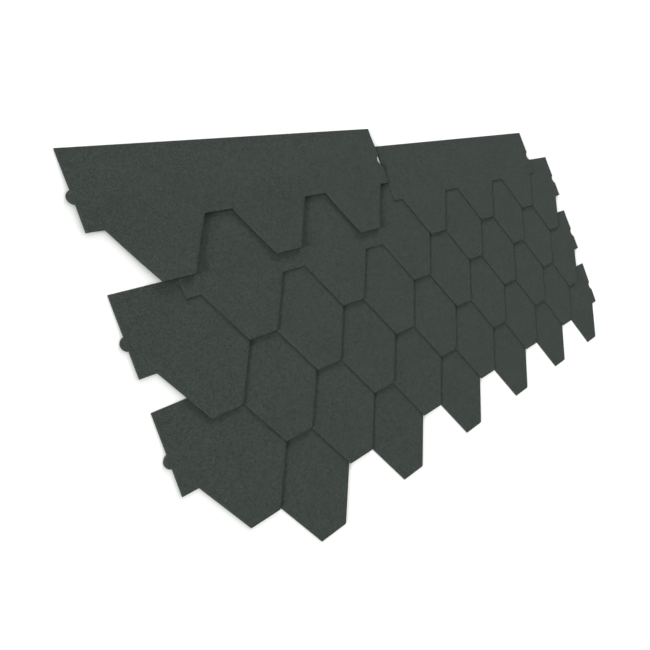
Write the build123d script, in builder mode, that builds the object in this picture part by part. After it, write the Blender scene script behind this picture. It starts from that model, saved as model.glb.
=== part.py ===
from build123d import *
import os

# A group of hexagonal-tab bitumen roofing shingles, lying flat as they lap on a roof.
# Six courses of two strips each: every course covers the upper part of the course below
# it, and the even courses sit half a tab to the right. The left strip of the top course
# has been slid up the slope and lies loose on the others.
# Millimetres. X runs along the courses, Y up the slope and Z up from the floor. The origin
# is under the middle of the group, on the floor.

# One strip
strip_length = 1000.0
strip_height = 336.0
thickness = 3.0
tab_count = 3
tab_depth = 142.0
tab_tip_width = 86.0
notch_root_width = 82.7
nub_radius = 17.5
nub_inset = 4.5
nub_place = 113.0
socket_clearance = 0.8

# The laid group
course_count = 6
exposure = 134.9
even_course_raise = 4.6
end_gap = 3.0

# How a strip bends over the edges under it
bend_lead = 5.0
bend_radius = 200.0
flat_stretch = 20.0

# The loose strip, whose tab tips reach a little past the third course's top edge
loose_tip_overlap = 3.2
loose_bend_start = 20.0
loose_bend_lead = 30.0
loose_tab_run = 110.0
loose_tab_lift = 6.0

tab_pitch = strip_length / tab_count
half_pitch = tab_pitch / 2
root_line = strip_height - tab_depth
nub_reach = nub_radius - nub_inset
socket_radius = nub_radius + socket_clearance
second_left = strip_length + end_gap


def course_top(course):
    """Distance down the slope from the first course's top edge to this one's."""
    raised = even_course_raise if course % 2 == 0 else 0.0
    return (course - 1) * exposure - raised


def course_left(course):
    """Left end of a course, to the right of the first course's."""
    return half_pitch if course % 2 == 0 else 0.0


# A strip runs flat for at least the flat stretch between two steps.
bend_run = course_top(2) - bend_lead - flat_stretch

loose_slide = strip_height - course_top(3) - loose_tip_overlap

# The box of the whole group gives the origin.
courses = range(1, course_count + 1)
group_left = min(course_left(course) for course in courses) - nub_reach
group_right = max(course_left(course) for course in courses) + second_left + strip_length
group_bottom = max(course_top(course) for course in courses) + strip_height
middle_x = (group_left + group_right) / 2
middle_y = (group_bottom - loose_slide) / 2


def lap_bends(course):
    """Where a laid strip steps up over each lower course: (start, run, rise) from its top.

    Each step ends a little short of the edge that it climbs over, and a little before the
    same step of the strip beneath, so that only the flat stretches touch. The tab tips can
    end part of the way up a step, where the strip beneath rises too.
    """
    bends = []
    for below in range(course + 1, course_count + 1):
        edge = course_top(below) - course_top(course)
        start = edge - bend_lead * (below - course) - bend_run
        if start < strip_height:
            bends.append((start, bend_run, thickness))
    return bends


def loose_bends():
    """The loose strip's one long step, over the next strip's nub and the second course."""
    nub_start = loose_slide + nub_place - nub_radius
    run = nub_start - loose_bend_lead - loose_bend_start
    return [(loose_bend_start, run, 2 * thickness)]


def face_line(edge_y, bends, height, tab_lift):
    """One face of a strip seen from its end, from the top edge down: flat runs and slopes.

    The corners between them are bent round. With a tab lift, the last stretch is one long
    arc upwards to the tab tips. Otherwise the line goes on flat past them, and the outline
    cuts it there. Returns the line's last point.
    """
    points = [(edge_y, height)]
    for start, run, rise in bends:
        points.append((edge_y - start, height))
        height += rise
        points.append((edge_y - start - run, height))
    tip_y = edge_y - strip_height
    if tab_lift > 0:
        points.append((tip_y + loose_tab_run, height))
        end = (tip_y, height + tab_lift)
        TangentArc(points[-1], end, tangent=(-1, 0))
    else:
        end = (min(points[-1][0], tip_y) - flat_stretch, height)
        points.append(end)
    if bends:
        FilletPolyline(*points, radius=bend_radius)
    else:
        Line(*points)
    return end


def outline_points():
    """The strip's cut outline from its top left corner, with y down the strip below zero.

    Straight top edge, then the tabs along the lower side, with half a notch at each end.
    """
    points = [(0, 0), (0, -root_line)]
    for tab in range(tab_count):
        centre = half_pitch + tab * tab_pitch
        shoulder = (tab_pitch - notch_root_width) / 2
        points += [
            (centre - shoulder, -root_line),
            (centre - tab_tip_width / 2, -strip_height),
            (centre + tab_tip_width / 2, -strip_height),
            (centre + shoulder, -root_line),
        ]
    return points + [(strip_length, -root_line), (strip_length, 0)]


def shingle_strip(name, left, top, bends, tab_lift=0.0):
    """One strip: its bent side profile along the course, cut to the outline from above."""
    x = left - middle_x
    y = middle_y - top
    with BuildPart() as strip:
        with BuildSketch(Plane.YZ.offset(x - nub_reach)):
            with BuildLine():
                under_tip = face_line(y, bends, 0, tab_lift)
                upper_tip = face_line(y, bends, thickness, tab_lift)
                Line(under_tip, upper_tip)
                Line((y, 0), (y, thickness))
            make_face()
        extrude(amount=nub_reach + strip_length)
        headroom = under_tip[1] + 2 * thickness
        with BuildSketch(Plane(origin=(x, y, -thickness))):
            Polygon(*outline_points(), align=None)
            with Locations((nub_inset, -nub_place)):
                Circle(nub_radius)
            with Locations((strip_length + nub_inset, -nub_place)):
                Circle(socket_radius, mode=Mode.SUBTRACT)
        extrude(amount=headroom + thickness, mode=Mode.INTERSECT)
    strip.part.label = name
    export_step(strip.part, f"parts/{name}.step")


os.makedirs("parts", exist_ok=True)

# The laid strips, from the top course down, and the loose one in place of the first.
for course in courses:
    left = course_left(course)
    top = course_top(course)
    bends = lap_bends(course)
    if course == 1:
        shingle_strip("course_1_left", left, top - loose_slide, loose_bends(), loose_tab_lift)
    else:
        shingle_strip(f"course_{course}_left", left, top, bends)
    shingle_strip(f"course_{course}_right", left + second_left, top, bends)
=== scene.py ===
import math

import bpy
import numpy as np
from mathutils import Matrix, Vector
from mathutils.bvhtree import BVHTree
from mathutils.geometry import delaunay_2d_cdt


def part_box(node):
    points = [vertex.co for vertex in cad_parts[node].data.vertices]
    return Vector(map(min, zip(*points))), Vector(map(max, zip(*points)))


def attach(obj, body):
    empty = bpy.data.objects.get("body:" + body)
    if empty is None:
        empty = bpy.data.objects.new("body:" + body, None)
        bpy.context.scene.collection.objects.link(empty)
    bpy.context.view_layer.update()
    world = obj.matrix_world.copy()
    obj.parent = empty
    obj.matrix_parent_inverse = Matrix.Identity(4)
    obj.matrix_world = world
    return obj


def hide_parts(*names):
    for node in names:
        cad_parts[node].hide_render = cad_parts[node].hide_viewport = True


# A lapped set of hexagonal-tab bitumen shingle strips on a pale floor. Metres.
# Each strip is one closed mesh, laid along its solid in the frame: mineral granules on
# top, sanded bitumen beneath and a ragged cut edge all round.
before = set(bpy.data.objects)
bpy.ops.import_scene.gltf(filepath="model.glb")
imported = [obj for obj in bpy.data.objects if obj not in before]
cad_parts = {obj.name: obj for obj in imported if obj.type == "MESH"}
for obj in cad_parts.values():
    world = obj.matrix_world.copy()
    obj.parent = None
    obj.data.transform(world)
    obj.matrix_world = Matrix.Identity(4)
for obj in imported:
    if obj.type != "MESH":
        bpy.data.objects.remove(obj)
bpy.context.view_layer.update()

# The photograph's camera, fitted to the corners of the strips in it. Its frame is square.
IMAGE_SIDE = 650
FOCAL_PIXELS = 549.62
CENTRE_PIXEL = (350.0, 310.0)
CAMERA_PLACE = (-1.5182, 0.0186, 1.199)
CAMERA_RIGHT = (0.69251, -0.33808, 0.63729)
CAMERA_FORWARD = (0.67191, -0.01933, -0.74038)
SENSOR_WIDTH = 36.0

# A strip's cut outline. A round nub stands on its left end, and a socket for such a nub is
# cut into its right end.
STRIP_LENGTH = 1.000
STRIP_HEIGHT = 0.336
TAB_COUNT = 3
TAB_DEPTH = 0.142
TAB_TIP_WIDTH = 0.086
NOTCH_ROOT_WIDTH = 0.0827
NUB_RADIUS = 0.0175
NUB_INSET = 0.0045
NUB_PLACE = 0.113
SOCKET_RADIUS = 0.0183
TAB_PITCH = STRIP_LENGTH / TAB_COUNT
ROOT_LINE = STRIP_HEIGHT - TAB_DEPTH

# The mesh of a strip: points at even steps along the cut edge, one more row of them a
# border's width inside, and a grid that keeps a margin from the edge. Points nearer to each
# other than the merge distance count as one.
EDGE_STEP = 0.0016
BORDER = 0.0012
GRID_STEP = 0.008
GRID_MARGIN = 0.004
MERGE_DISTANCE = 1e-7

# How far the top drops at the edge, how deep the edge is ragged, and how uneven the top
# is: the depth, and the number and lengths of the waves that make it so
EDGE_DROP = 0.0002
EDGE_NOTCH = 0.0003
RELIEF_DEPTH = 0.00012
RELIEF_WAVES = 14
RELIEF_LENGTHS = (0.03, 0.12)

# Rays from above and below read the heights of a solid's two faces, in rows that begin
# and end a little inside the strip.
PROFILE_ROWS = 240
PROFILE_INSET = 0.001
RAY_HEIGHT = 0.1

# A mesh's materials, in the order of its slots
TOP, CUT, BACK = range(3)

# Lamps: where the light comes from, as degrees from the way up the slope towards the
# right and degrees above the floor, then the lamp's size in degrees and its energy.
# Their light is very slightly yellow-green.
LAMPS = {
    "left_softbox": (-90.0, 12.0, 12.0, 5.5),
    "back_softbox": (30.0, 18.0, 15.0, 1.9),
}
LAMP_COLOUR = (0.96, 1.0, 0.93)
WORLD_STRENGTH = 0.45

# The floor lies a hair below the strips. It glows only where it is seen directly, and less
# within the contact's reach of a strip, so that the strip's shadow shows.
FLOOR_SIZE = 12.0
FLOOR_GAP = 0.0002
FLOOR_COLOUR = (0.8, 0.8, 0.8, 1)
FLOOR_GLOW = 0.4
CONTACT_REACH = 0.03
CONTACT_POWER = 2.0

# Granules, and the noise that chips their outlines. The tilt sets how much they lean, the
# width of the crevices between them is a share of their size, the colour in the crevices is
# darkened as painted shade, to the crevice share at their edges, and each colour has its
# place between 0 and 1, from which every granule draws its own.
GRANULE_SIZE = 0.0014
GRANULE_TILT = 0.4
GRANULE_BUMP = 0.0002
CHIP_SIZE = 0.0011
CHIP_REACH = 0.0010
CREVICE_WIDTH = 0.22
CREVICE_PAINTED_SHADE = 0.25
GRANULE_COLOURS = (
    (0.00, (0.0592, 0.0695, 0.0645)),
    (0.30, (0.0753, 0.0885, 0.0815)),
    (0.72, (0.0843, 0.0996, 0.0925)),
    (1.00, (0.1064, 0.1208, 0.1155)),
)

# Faint blotches over the granules, from a few granules wide to a hand's width: size and
# strength. Their roughness varies over patches too.
MOTTLES = ((0.004, 0.12), (0.009, 0.18), (0.022, 0.08), (0.11, 0.05))
ROUGH_PATCH = 0.004

# The bitumen that shows in the cut, and the granules along its upper side. They begin
# between two heights, which are shares of the strip's thickness and waver by a share of
# it, and hide no more than the cover's share of the bitumen.
GRIT_SIZE = 0.0012
GRIT_BUMP = 0.0004
BITUMEN_COLOURS = ((0.30, (0.007, 0.007, 0.007)), (0.75, (0.020, 0.020, 0.020)))
RIM_START = 0.86
RIM_FULL = 0.92
RIM_WAVER = 0.12
RIM_COVER = 0.4

# The sand on the underside, and the patches where it is darker or paler
SAND_SIZE = 0.0006
SAND_BUMP = 0.00015
SAND_COLOURS = (
    (0.0, (0.030, 0.030, 0.029)),
    (0.5, (0.090, 0.088, 0.083)),
    (1.0, (0.210, 0.205, 0.190)),
)
SAND_PATCH = 0.02
SAND_PATCH_SHADES = (0.75, 1.2)


def make_camera():
    data = bpy.data.cameras.new("camera")
    data.sensor_width = SENSOR_WIDTH
    data.lens = FOCAL_PIXELS * SENSOR_WIDTH / IMAGE_SIDE
    data.shift_x = (IMAGE_SIDE / 2 - CENTRE_PIXEL[0]) / IMAGE_SIDE
    data.shift_y = (CENTRE_PIXEL[1] - IMAGE_SIDE / 2) / IMAGE_SIDE
    camera = bpy.data.objects.new("camera", data)
    forward = Vector(CAMERA_FORWARD).normalized()
    up = Vector(CAMERA_RIGHT).cross(forward).normalized()
    right = forward.cross(up)
    turn = Matrix((right, up, -forward)).transposed()
    camera.matrix_world = Matrix.Translation(CAMERA_PLACE) @ turn.to_4x4()
    bpy.context.scene.collection.objects.link(camera)
    bpy.context.scene.camera = camera


def seen_directly(tree):
    """1 where the camera sees this, straight or in a gloss or through glass, and 0 elsewhere."""
    path = tree.nodes.new("ShaderNodeLightPath")
    total = path.outputs["Is Camera Ray"]
    for other in ("Is Glossy Ray", "Is Transmission Ray"):
        either = tree.nodes.new("ShaderNodeMath")
        either.operation = "MAXIMUM"
        tree.links.new(total, either.inputs[0])
        tree.links.new(path.outputs[other], either.inputs[1])
        total = either.outputs[0]
    return total


def make_sky():
    """An even sky that is white where it is seen and lights the strips less than that."""
    world = bpy.data.worlds.new("studio")
    world.use_nodes = True
    tree = world.node_tree
    background = tree.nodes["Background"]
    background.inputs["Color"].default_value = (1, 1, 1, 1)
    strength = tree.nodes.new("ShaderNodeMapRange")
    strength.inputs["To Min"].default_value = WORLD_STRENGTH
    tree.links.new(seen_directly(tree), strength.inputs["Value"])
    tree.links.new(strength.outputs["Result"], background.inputs["Strength"])
    bpy.context.scene.world = world


def make_lamps():
    for name, (azimuth, elevation, size, energy) in LAMPS.items():
        lamp = bpy.data.lights.new(name, "SUN")
        lamp.energy = energy
        lamp.color = LAMP_COLOUR
        lamp.angle = math.radians(size)
        across = math.cos(math.radians(elevation))
        towards = Vector((
            across * math.sin(math.radians(azimuth)),
            across * math.cos(math.radians(azimuth)),
            math.sin(math.radians(elevation)),
        ))
        holder = bpy.data.objects.new(name, lamp)
        holder.rotation_euler = (-towards).to_track_quat("-Z", "Y").to_euler()
        bpy.context.scene.collection.objects.link(holder)


class Material:
    """A new material, with short ways to add and join its nodes."""

    def __init__(self, name):
        self.material = bpy.data.materials.new(name)
        self.material.use_nodes = True
        self.tree = self.material.node_tree
        self.shader = self.tree.nodes["Principled BSDF"]

    def put(self, socket, value):
        """Sets a socket to a constant, or joins another node's output to it."""
        if isinstance(value, bpy.types.NodeSocket):
            self.tree.links.new(value, socket)
        else:
            socket.default_value = value

    def give(self, name, value):
        """Puts a value on one of the shader's own sockets."""
        self.put(self.shader.inputs[name], value)

    def node(self, kind, inputs=(), **settings):
        node = self.tree.nodes.new("ShaderNode" + kind)
        for name, value in settings.items():
            setattr(node, name, value)
        for name, value in dict(inputs).items():
            self.put(node.inputs[name], value)
        return node

    def math(self, operation, *values):
        return self.node("Math", enumerate(values), operation=operation).outputs[0]

    def vector(self, operation, *values, output="Vector"):
        node = self.node("VectorMath", enumerate(values), operation=operation)
        return node.outputs[output]

    def spread(self, value, low, high):
        """Maps 0 to 1 onto low to high."""
        node = self.node("MapRange", {"Value": value, "To Min": low, "To Max": high})
        return node.outputs["Result"]

    def channel(self, colour, name):
        return self.node("SeparateColor", {"Color": colour}).outputs[name]

    def ramp(self, value, stops):
        node = self.node("ValToRGB", {"Fac": value})
        elements = node.color_ramp.elements
        for place, colour in stops[1:-1]:
            elements.new(place)
        for element, (place, colour) in zip(elements, stops):
            element.position = place
            element.color = (*colour, 1)
        return node.outputs["Color"]

    def mix(self, share, a, b, blend="MIX"):
        """Mixes two colours. Their sockets share their names with others, so they go by place."""
        inputs = {"Factor": share, 6: a, 7: b}
        return self.node("Mix", inputs, data_type="RGBA", blend_type=blend).outputs[2]

    def places(self):
        """Places on the object in metres, moved by a different amount for each strip."""
        place = self.node("TexCoord").outputs["Object"]
        shift = self.node("ObjectInfo").outputs["Random"]
        return self.vector("ADD", place, shift)

    def cells(self, places, size, feature="F1"):
        """Cells of one size, spread over the level plane."""
        inputs = {"Vector": places, "Scale": 1 / size}
        return self.node("TexVoronoi", inputs, feature=feature, voronoi_dimensions="2D")

    def noise(self, places, size, detail=2.0, dimensions="2D", output="Fac"):
        inputs = {"Vector": places, "Scale": 1 / size, "Detail": detail}
        return self.node("TexNoise", inputs, noise_dimensions=dimensions).outputs[output]

    def bump(self, height, depth):
        return self.node("Bump", {"Height": height, "Distance": depth}).outputs["Normal"]


def granules(made, places):
    """Crushed stone granules: each with a tone and a tilt of its own, and painted shade between
    them.

    Returns their height, about 0 in the crevices and about 1 on top, and their colour, which
    carries the painted shade of the crevices.
    """
    chips = made.noise(places, CHIP_SIZE, detail=1.0, output="Color")
    chipped = made.vector("MULTIPLY_ADD", chips, (CHIP_REACH,) * 3, places)
    cells = made.cells(chipped, GRANULE_SIZE)
    chance = cells.outputs["Color"]
    colour = made.ramp(made.channel(chance, "Red"), GRANULE_COLOURS)
    inwards = made.cells(chipped, GRANULE_SIZE, "DISTANCE_TO_EDGE").outputs["Distance"]
    limits = {"Value": inwards, "From Max": CREVICE_WIDTH}
    rounded = made.node("MapRange", limits, interpolation_type="SMOOTHSTEP").outputs["Result"]
    local = made.vector("SUBTRACT", chipped, cells.outputs["Position"])
    lean = made.vector("MULTIPLY_ADD", chance, (1, 1, 0), (-0.5, -0.5, 0))
    tilt = made.vector("DOT_PRODUCT", local, lean, output="Value")
    height = made.math("MULTIPLY_ADD", tilt, GRANULE_TILT / GRANULE_SIZE, rounded)
    # Painted shade: the colour darkens in the crevices between granules, to the painted share at
    # their edges. The mottles below are the granules' own tone.
    shade = made.spread(rounded, CREVICE_PAINTED_SHADE, 1.0)
    for size, depth in MOTTLES:
        mottle = made.spread(made.noise(places, size), 1 - depth, 1 + depth)
        shade = made.math("MULTIPLY", shade, mottle)
    return height, made.mix(1.0, colour, shade, "MULTIPLY")


def granule_material():
    """Granules pressed into bitumen."""
    made = Material("granules")
    places = made.places()
    # The colour carries painted shade in the crevices between granules.
    height, colour = granules(made, places)
    made.give("Base Color", colour)
    made.give("Roughness", made.spread(made.noise(places, ROUGH_PATCH), 0.8, 1.0))
    made.give("Specular IOR Level", 0.03)
    made.give("Normal", made.bump(height, GRANULE_BUMP))
    return made.material


def bitumen_material():
    """The cut through a strip: black bitumen, with granules along its upper side."""
    made = Material("cut_bitumen")
    places = made.places()
    grit = made.noise(places, GRIT_SIZE, detail=4.0, dimensions="3D")
    bitumen = made.ramp(grit, BITUMEN_COLOURS)
    # The granules' colour carries painted shade in their crevices.
    height, colour = granules(made, places)
    rise = made.node("Attribute", attribute_name="rise").outputs["Fac"]
    wavering = made.math("ADD", rise, made.spread(height, -RIM_WAVER, RIM_WAVER))
    limits = {"From Min": RIM_START, "From Max": RIM_FULL, "To Max": RIM_COVER}
    share = made.node("MapRange", {"Value": wavering, **limits}).outputs["Result"]
    made.give("Base Color", made.mix(share, bitumen, colour))
    made.give("Roughness", made.spread(grit, 0.5, 0.85))
    made.give("Specular IOR Level", 0.2)
    made.give("Normal", made.bump(grit, GRIT_BUMP))
    return made.material


def sand_material():
    """The underside: fine pale sand stuck to the bitumen."""
    made = Material("sanded_back")
    places = made.places()
    grains = made.cells(places, SAND_SIZE)
    sand = made.ramp(made.channel(grains.outputs["Color"], "Green"), SAND_COLOURS)
    patches = made.spread(made.noise(places, SAND_PATCH, detail=3.0), *SAND_PATCH_SHADES)
    made.give("Base Color", made.mix(1.0, sand, patches, "MULTIPLY"))
    made.give("Roughness", 0.95)
    made.give("Specular IOR Level", 0.15)
    height = made.math("SUBTRACT", 1.0, grains.outputs["Distance"])
    made.give("Normal", made.bump(height, SAND_BUMP))
    return made.material


def floor_material():
    """A pale floor that the camera sees brighter than it lights the strips."""
    made = Material("floor")
    made.give("Base Color", FLOOR_COLOUR)
    made.give("Roughness", 1.0)
    made.give("Specular IOR Level", 0.0)
    made.give("Emission Color", (1, 1, 1, 1))
    open_sky = made.node("AmbientOcclusion", {"Distance": CONTACT_REACH}).outputs["AO"]
    glow = made.math("MULTIPLY", made.math("POWER", open_sky, CONTACT_POWER), FLOOR_GLOW)
    made.give("Emission Strength", made.math("MULTIPLY", glow, seen_directly(made.tree)))
    return made.material


def make_floor():
    bpy.ops.mesh.primitive_plane_add(size=FLOOR_SIZE, location=(0, 0, -FLOOR_GAP))
    floor = bpy.context.object
    floor.name = "floor"
    floor.data.materials.append(floor_material())


def arc(centre_x, radius):
    """The part of a nub's or socket's circle to the left of a strip's end, top to bottom."""
    reach = math.acos(NUB_INSET / radius)
    count = math.ceil(2 * reach * radius / EDGE_STEP)
    points = []
    for step in range(count + 1):
        angle = reach - 2 * reach * step / count
        x = centre_x - radius * math.cos(angle)
        points.append((x, NUB_PLACE - radius * math.sin(angle)))
    return points


def outline_corners():
    """The cut outline's corners and arcs, from the top left corner down and round.

    x runs along the strip and y down it, so the inside is on the left of the way round.
    """
    corners = [(0.0, 0.0)]
    corners += arc(NUB_INSET, NUB_RADIUS)
    corners.append((0.0, ROOT_LINE))
    shoulder = (TAB_PITCH - NOTCH_ROOT_WIDTH) / 2
    for tab in range(TAB_COUNT):
        centre = TAB_PITCH * (tab + 0.5)
        corners.append((centre - shoulder, ROOT_LINE))
        corners.append((centre - TAB_TIP_WIDTH / 2, STRIP_HEIGHT))
        corners.append((centre + TAB_TIP_WIDTH / 2, STRIP_HEIGHT))
        corners.append((centre + shoulder, ROOT_LINE))
    corners.append((STRIP_LENGTH, ROOT_LINE))
    corners += arc(STRIP_LENGTH + NUB_INSET, SOCKET_RADIUS)[::-1]
    corners.append((STRIP_LENGTH, 0.0))
    return np.array(corners)


def strip_outline():
    """The cut outline as points at even steps."""
    corners = outline_corners()
    points = []
    for start, end in zip(corners, np.roll(corners, -1, 0)):
        count = max(1, round(float(np.linalg.norm(end - start)) / EDGE_STEP))
        points += [start + (end - start) * step / count for step in range(count)]
    return np.array(points)


def inward(outline):
    """For each point of the outline, the move that takes its edges inwards by 1."""
    along = np.roll(outline, -1, 0) - outline
    along /= np.linalg.norm(along, axis=1)[:, None]
    normal = np.stack([along[:, 1], -along[:, 0]], 1)
    before = np.roll(normal, 1, 0)
    return (normal + before) / (1 + (normal * before).sum(1))[:, None]


def inside(points, outline):
    """Which points lie inside the outline, by counting the edges to their right."""
    x, y = points[:, 0, None], points[:, 1, None]
    start, end = outline, np.roll(outline, -1, 0)
    spans = (start[:, 1] > y) != (end[:, 1] > y)
    fall = end[:, 1] - start[:, 1]
    run = (end[:, 0] - start[:, 0]) / np.where(fall == 0, 1, fall)
    crossing = start[:, 0] + (y - start[:, 1]) * run
    return (spans & (x < crossing)).sum(1) % 2 == 1


def far_from(points, outline):
    """Which points keep the grid's margin from the outline."""
    gaps = np.linalg.norm(points[:, None] - outline[None], axis=2).min(1)
    return gaps > GRID_MARGIN


def strip_sheet():
    """A strip's points, flat, their triangles, and how many of the points are the outline.

    The outline comes first, then the border inside it, then the grid, whose rows are
    shifted against each other by half a step.
    """
    outline = strip_outline()
    border = outline + inward(outline) * BORDER
    columns = np.arange(GRID_STEP / 2, STRIP_LENGTH, GRID_STEP)
    rows = np.arange(GRID_STEP / 2, STRIP_HEIGHT, GRID_STEP)
    grid = np.stack(np.meshgrid(columns, rows), 2).reshape(-1, 2)
    grid[:, 0] += np.where(np.round(grid[:, 1] / GRID_STEP) % 2 == 0, 0, GRID_STEP / 2)
    grid = grid[inside(grid, outline)]
    grid = grid[far_from(grid, outline)]
    points = np.concatenate([outline, border, grid])
    count = len(outline)
    ring = [(count + i, count + (i + 1) % count) for i in range(count)]
    around = [list(range(count))]
    # The 1 asks for the triangles inside the outline alone.
    result = delaunay_2d_cdt([Vector(p) for p in points], ring, around, 1, MERGE_DISTANCE)
    triangles = np.array([list(face) for face in result[2]])
    return points, triangles, count


def face_heights(node, x, top):
    """Heights of a laid strip's two faces along its middle, from the top edge down."""
    tree = BVHTree.FromObject(node, bpy.context.evaluated_depsgraph_get())
    down = np.linspace(PROFILE_INSET, STRIP_HEIGHT - PROFILE_INSET, PROFILE_ROWS)
    upper, lower = [], []
    for distance in down:
        above = Vector((x, top - distance, RAY_HEIGHT))
        below = Vector((x, top - distance, -RAY_HEIGHT))
        upper.append(tree.ray_cast(above, Vector((0, 0, -1)))[0].z)
        lower.append(tree.ray_cast(below, Vector((0, 0, 1)))[0].z)
    return down, np.array(upper), np.array(lower)


def relief(points, rng):
    """A shallow uneven surface, from 0 to 1, as a sum of waves in random directions."""
    total = np.zeros(len(points))
    for _ in range(RELIEF_WAVES):
        length = rng.uniform(*RELIEF_LENGTHS)
        angle = rng.uniform(0, math.tau)
        way = np.array([math.cos(angle), math.sin(angle)]) * math.tau / length
        total += np.sin(points @ way + rng.uniform(0, math.tau))
    return 0.5 + 0.5 * np.clip(total / math.sqrt(2 * RELIEF_WAVES), -1, 1)


def closed_mesh(name, top, back, middle, triangles):
    """A top and a back sheet, joined round their outlines by walls with a row between."""
    total, count = len(top), len(middle)
    around = np.arange(count)
    rings = (around, 2 * total + around, total + around)
    walls = []
    for over, under in zip(rings, rings[1:]):
        walls.append(np.stack([over, under, np.roll(under, -1), np.roll(over, -1)], 1))
    walls = np.concatenate(walls)
    faces = triangles[:, ::-1].tolist() + (triangles + total).tolist() + walls.tolist()
    mesh = bpy.data.meshes.new(name)
    mesh.from_pydata(np.concatenate([top, back, middle]).tolist(), [], faces)
    slots = np.repeat([TOP, BACK, CUT], [len(triangles), len(triangles), len(walls)])
    mesh.polygons.foreach_set("material_index", slots)
    mesh.polygons.foreach_set("use_smooth", slots != CUT)
    # How far up the strip's thickness each point is, for the material of the cut
    rise = np.repeat([1.0, 0.0, 0.5], [total, total, count])
    mesh.attributes.new("rise", "FLOAT", "POINT").data.foreach_set("value", rise)
    mesh.validate()
    mesh.update()
    return mesh


def strip_mesh(name, node, sheet, rng):
    """One strip as a closed mesh over its solid's faces, with ragged edges."""
    points, triangles, count = sheet
    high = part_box(name)[1]
    left = high.x - STRIP_LENGTH
    down, upper, lower = face_heights(node, left + STRIP_LENGTH / 2, high.y)
    ways = inward(points[:count])

    def laid(flat, heights, drop):
        """Flat points moved to the strip's place and raised to one of its faces."""
        x = left + flat[:, 0]
        y = high.y - flat[:, 1]
        return np.stack([x, y, np.interp(flat[:, 1], down, heights) - drop], 1)

    def ragged(depth):
        """The outline, moved inwards by up to a depth, at random for each point."""
        return points[:count] + ways * rng.uniform(0, depth, count)[:, None]

    drop = RELIEF_DEPTH * relief(points, rng)
    drop[:count] += EDGE_DROP * rng.uniform(0.5, 1.0, count)
    top_flat = points.copy()
    top_flat[:count] = ragged(EDGE_NOTCH)
    back_flat = points.copy()
    back_flat[:count] = ragged(EDGE_NOTCH / 2)
    top = laid(top_flat, upper, drop)
    back = laid(back_flat, lower, 0)
    middle = laid(ragged(EDGE_NOTCH), (upper + lower) / 2, 0)
    return closed_mesh(name + "_shingle", top, back, middle, triangles)


def make_strips():
    materials = granule_material(), bitumen_material(), sand_material()
    sheet = strip_sheet()
    for number, (name, node) in enumerate(sorted(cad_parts.items()), 1):
        rng = np.random.default_rng(number)
        mesh = strip_mesh(name, node, sheet, rng)
        for material in materials:
            mesh.materials.append(material)
        piece = bpy.data.objects.new(name + "_shingle", mesh)
        bpy.context.scene.collection.objects.link(piece)
        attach(piece, "root")
        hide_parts(name)
        node.data.materials.clear()
        node.data.materials.append(materials[TOP])


make_camera()
make_sky()
make_lamps()
make_floor()
make_strips()

bpy.context.scene.view_settings.view_transform = "Standard"
